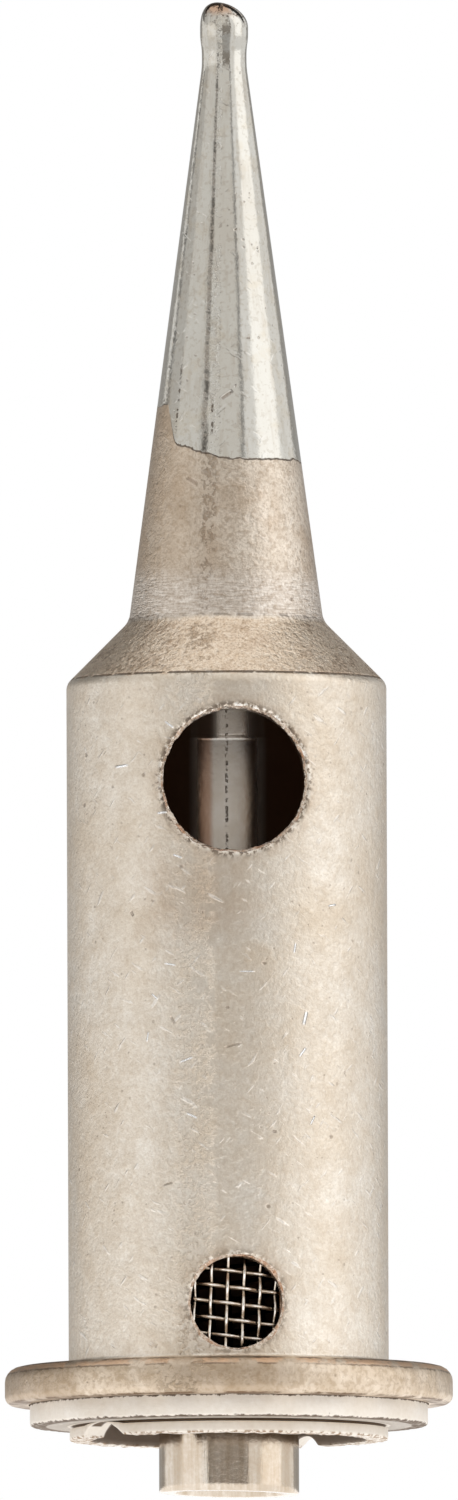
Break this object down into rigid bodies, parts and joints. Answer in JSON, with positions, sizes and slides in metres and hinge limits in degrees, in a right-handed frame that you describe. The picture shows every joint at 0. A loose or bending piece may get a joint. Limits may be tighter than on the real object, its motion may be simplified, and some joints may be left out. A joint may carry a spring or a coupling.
{
  "type": "gas soldering iron tip",
  "caption": "Conical soldering tip on a hollow barrel with a flange, an exhaust hole, a gauze window and a gas inlet tube.",
  "frame": {"origin": "centre of the inlet tube's lower end, the lowest point of the part", "axes": "+Z along the common axis from the inlet tube towards the nose, -Y towards the exhaust hole and the gauze window"},
  "size_m": [0.0112, 0.0112, 0.0374],
  "materials": {
    "plated_copper": "satin nickel plate on copper, tinned at the nose",
    "turned_steel": "fine turned, bright",
    "drawn_steel": "drawn, streaked along its length",
    "gauze_wire": "bright drawn wire, heat tinted",
    "catalyst": "dull fibre, dark coat"
  },
  "bodies": {
    "root": {"tip_body": "plated_copper", "base_plug": "turned_steel", "inlet_tube": "drawn_steel", "gauze_sleeve": "gauze_wire", "gauze_cap": "gauze_wire", "catalyst_sleeve": "catalyst"}
  },
  "joints": []
}
